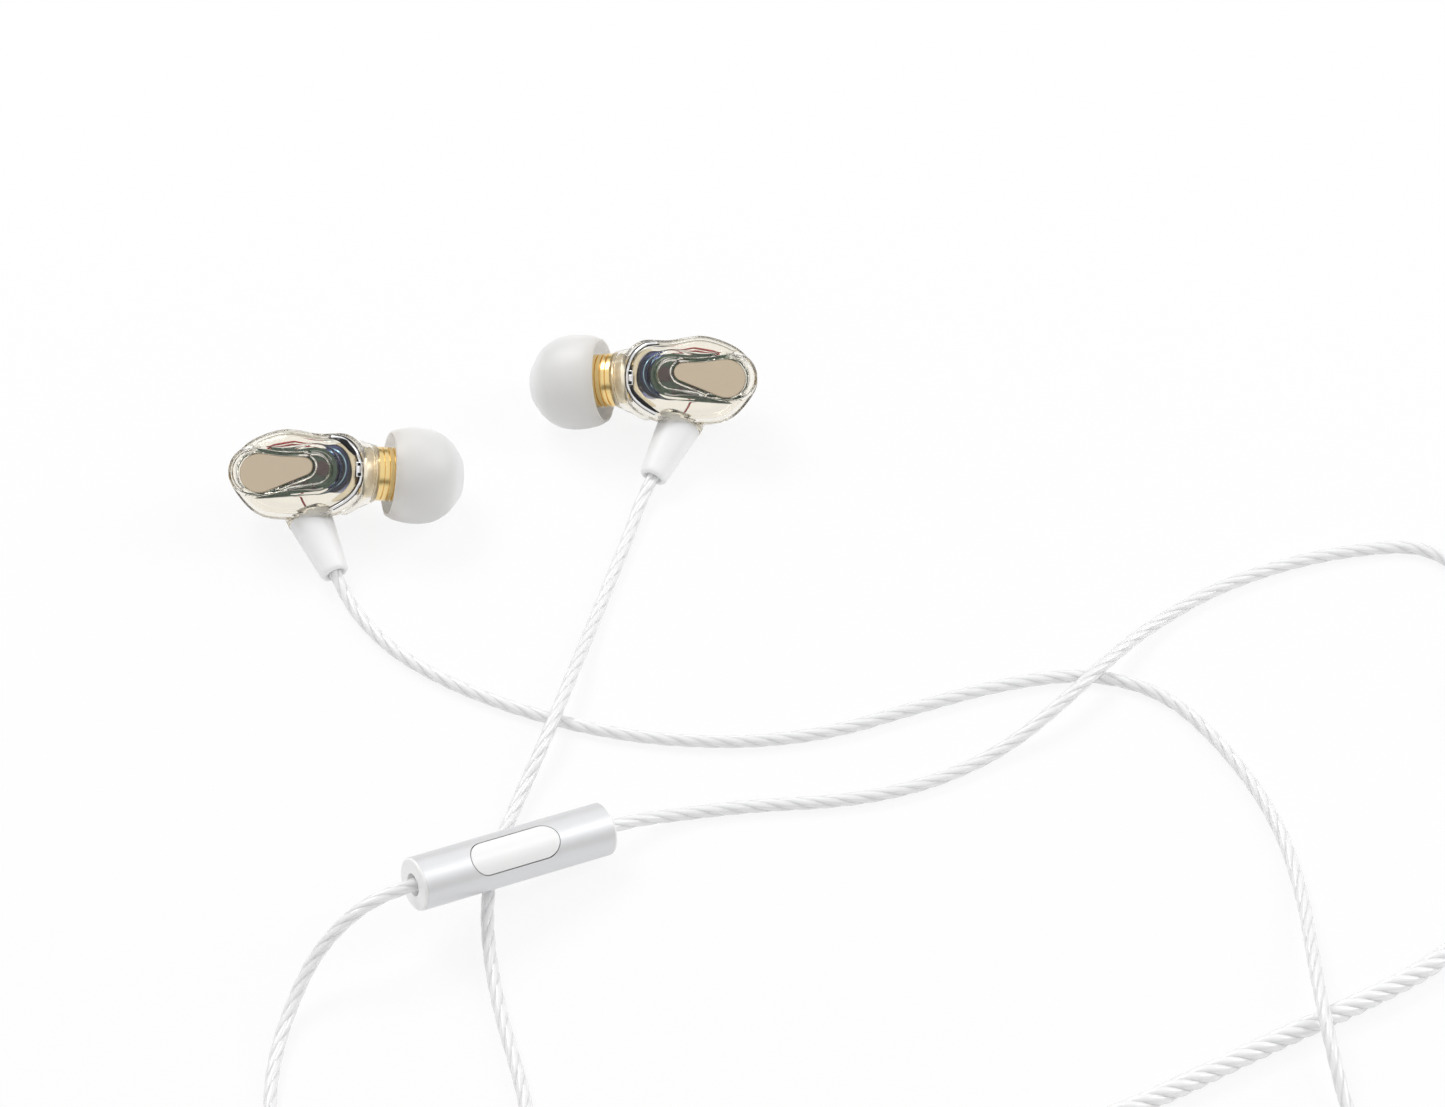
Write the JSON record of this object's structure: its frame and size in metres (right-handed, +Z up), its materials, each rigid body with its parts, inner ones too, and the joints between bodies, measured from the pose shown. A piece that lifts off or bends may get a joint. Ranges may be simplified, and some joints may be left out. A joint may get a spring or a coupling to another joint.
{
  "type": "in ear monitors",
  "caption": "Wired in-ear monitors with clear shells, ribbed nozzles, silicone tips, an inline remote, splitter and plug.",
  "frame": {"origin": "middle of the two earphones' footprint, on the table; the cords and what is on them are left out of it", "axes": "+X from the left-hand earphone to the right-hand one, +Y away from the viewer, +Z up from the table"},
  "size_m": [0.1792, 0.1642, 0.0143],
  "materials": {
    "black_seal": "matt black",
    "board_green": "solder mask",
    "chips": "moulded",
    "chrome_trim": "polished",
    "clear_shell": "clear, polished, faint warm tint",
    "copper_coil": "enamelled wire",
    "driver_metal": "blue-green anodised rim",
    "foam": "open-cell foam",
    "gold_nozzle": "polished, gold",
    "lead_clear": "twisted strands in clear jackets",
    "magnet": "plated",
    "membrane": "thin film",
    "plug_metal": "gold plated",
    "satin_champagne": "satin, champagne",
    "satin_silver": "satin silver",
    "silicone": "matt, translucent white",
    "steel_mesh": "fine screen",
    "tie_white": "soft wire",
    "white_plastic": "satin white",
    "white_relief": "satin white",
    "wire_red": "insulated wire"
  },
  "bodies": {
    "set": {"coil_tie": "tie_white", "left_acoustic_foam": "foam", "left_board_parts": "chips", "left_cable_collar": "clear_shell", "left_crossover_board": "board_green", "left_diaphragm": "membrane", "left_driver_frame": "driver_metal", "left_driver_magnet": "magnet", "left_driver_yoke": "driver_metal", "left_faceplate": "satin_champagne", "left_front_shell": "clear_shell", "left_gasket": "black_seal", "left_lead": "lead_clear", "left_nozzle": "gold_nozzle", "left_nozzle_screen": "steel_mesh", "left_rear_cover": "clear_shell", "left_rear_shell": "clear_shell", "left_signal_wires": "wire_red", "left_strain_relief": "white_relief", "left_trim_ring": "chrome_trim", "left_voice_coil": "copper_coil", "plug_contacts": "plug_metal", "plug_insulators": "chips", "plug_relief": "white_relief", "plug_shell": "satin_silver", "plug_tip": "plug_metal", "remote_board": "board_green", "remote_lead": "lead_clear", "remote_left_cap": "white_plastic", "remote_microphone": "magnet", "remote_right_cap": "white_plastic", "remote_sleeve": "satin_silver", "remote_switch": "chips", "right_acoustic_foam": "foam", "right_board_parts": "chips", "right_cable_collar": "clear_shell", "right_crossover_board": "board_green", "right_diaphragm": "membrane", "right_driver_frame": "driver_metal", "right_driver_magnet": "magnet", "right_driver_yoke": "driver_metal", "right_faceplate": "satin_champagne", "right_front_shell": "clear_shell", "right_gasket": "black_seal", "right_lead": "lead_clear", "right_nozzle": "gold_nozzle", "right_nozzle_screen": "steel_mesh", "right_rear_cover": "clear_shell", "right_rear_shell": "clear_shell", "right_signal_wires": "wire_red", "right_strain_relief": "white_relief", "right_trim_ring": "chrome_trim", "right_voice_coil": "copper_coil", "splitter": "satin_silver", "trunk_coil": "lead_clear", "trunk_lead": "lead_clear"},
    "left_tip": {"left_ear_tip": "silicone"},
    "right_tip": {"right_ear_tip": "silicone"},
    "button": {"remote_button": "white_plastic"}
  },
  "joints": [
    {"name": "left_tip_pull", "type": "slide", "parent": "set", "child": "left_tip", "axis": [0.9646, 0.1276, -0.2308], "range_m": [0, 0.008]},
    {"name": "right_tip_pull", "type": "slide", "parent": "set", "child": "right_tip", "axis": [-0.9646, 0.1276, -0.2308], "range_m": [0, 0.008]},
    {"name": "button_press", "type": "slide", "parent": "set", "child": "button", "axis": [-0.3768, 0.2718, -0.8855], "range_m": [0, 0.00035], "stiffness_N_per_m": 400, "springref_m": -0.0005}
  ]
}
